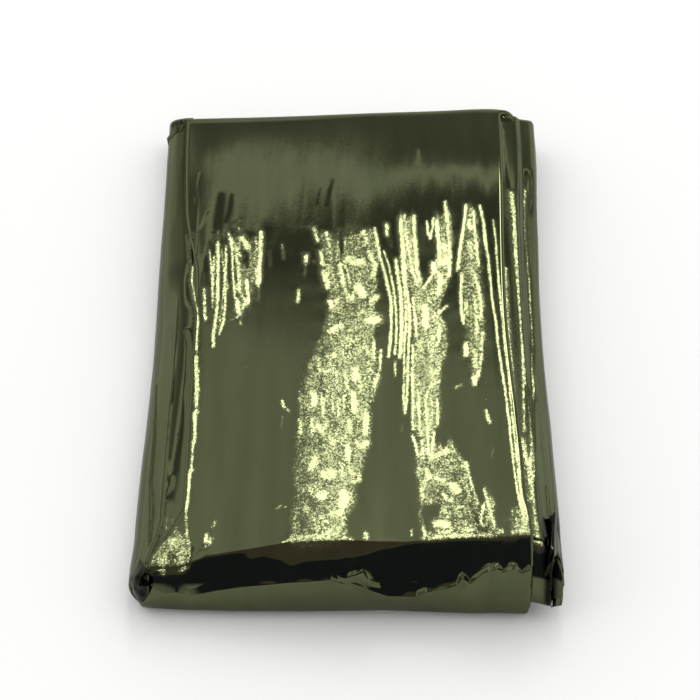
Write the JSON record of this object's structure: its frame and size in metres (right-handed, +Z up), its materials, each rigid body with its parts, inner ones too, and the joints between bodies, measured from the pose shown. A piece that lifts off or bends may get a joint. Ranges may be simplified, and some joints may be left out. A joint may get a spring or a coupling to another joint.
{
  "type": "emergency foil blanket",
  "caption": "Emergency blanket of thin olive-green metallised film, folded lengthwise into a strip and then back and forth into a flat, crinkled, mirror-bright rectangular packet.",
  "frame": {"origin": "under the middle of the folded packet, on the surface that it lies on", "axes": "+Z up, +X across the folded strip to its stepped edges, +Y along the strip from the nested folds at the near end to the loose far end"},
  "size_m": [0.0908, 0.1396, 0.0197],
  "materials": {
    "metallised_film": "thin polyester film with a bright olive-green metal coating, finely crinkled"
  },
  "bodies": {
    "root": {"foil_blanket": "metallised_film"}
  },
  "joints": []
}
